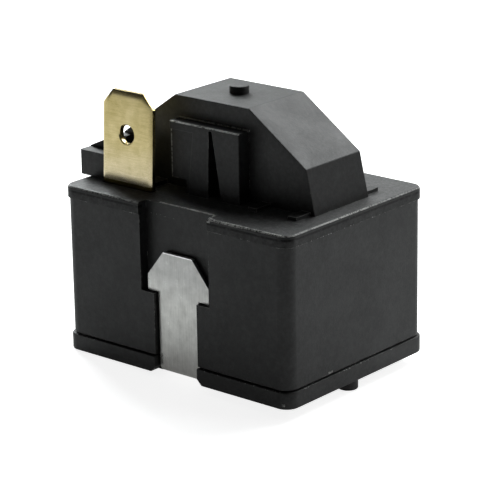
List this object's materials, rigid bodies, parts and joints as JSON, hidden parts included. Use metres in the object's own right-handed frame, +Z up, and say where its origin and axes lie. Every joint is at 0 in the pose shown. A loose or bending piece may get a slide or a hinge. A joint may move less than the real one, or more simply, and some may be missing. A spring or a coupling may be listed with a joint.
{
  "type": "compressor start relay",
  "caption": "Plug-on PTC start relay: black moulded housing with a disc hump, bottom cover, folded steel clip and a flat brass spade tab",
  "frame": {"origin": "centre of the bottom cover's flat underside", "axes": "+Z up through the hump, +X along the front face from the spade terminal's end to the peg's end, -Y the front face with the tab and the clip's head"},
  "size_m": [0.0291, 0.0208, 0.0275],
  "materials": {
    "housing_plastic": "black moulded thermoplastic, satin to semi-gloss",
    "cover_plastic": "black moulded thermoplastic, satin",
    "clip_steel": "rolled stainless strip with a fine vertical grain",
    "terminal_brass": "rolled brass sheet, dull sheen",
    "spring_steel": "spring strip",
    "ceramic": "grey thermistor ceramic with metallised faces"
  },
  "bodies": {
    "root": {"housing": "housing_plastic", "bottom_cover": "cover_plastic", "retaining_clip": "clip_steel", "spade_terminal": "terminal_brass", "ptc_disc": "ceramic", "run_socket": "terminal_brass", "start_socket": "terminal_brass", "run_socket_spring": "spring_steel", "start_socket_spring": "spring_steel", "run_contact_spring": "spring_steel", "start_contact_spring": "spring_steel", "run_terminal_rivet": "terminal_brass", "run_spring_rivet": "terminal_brass", "start_spring_rivet": "terminal_brass"}
  },
  "joints": []
}
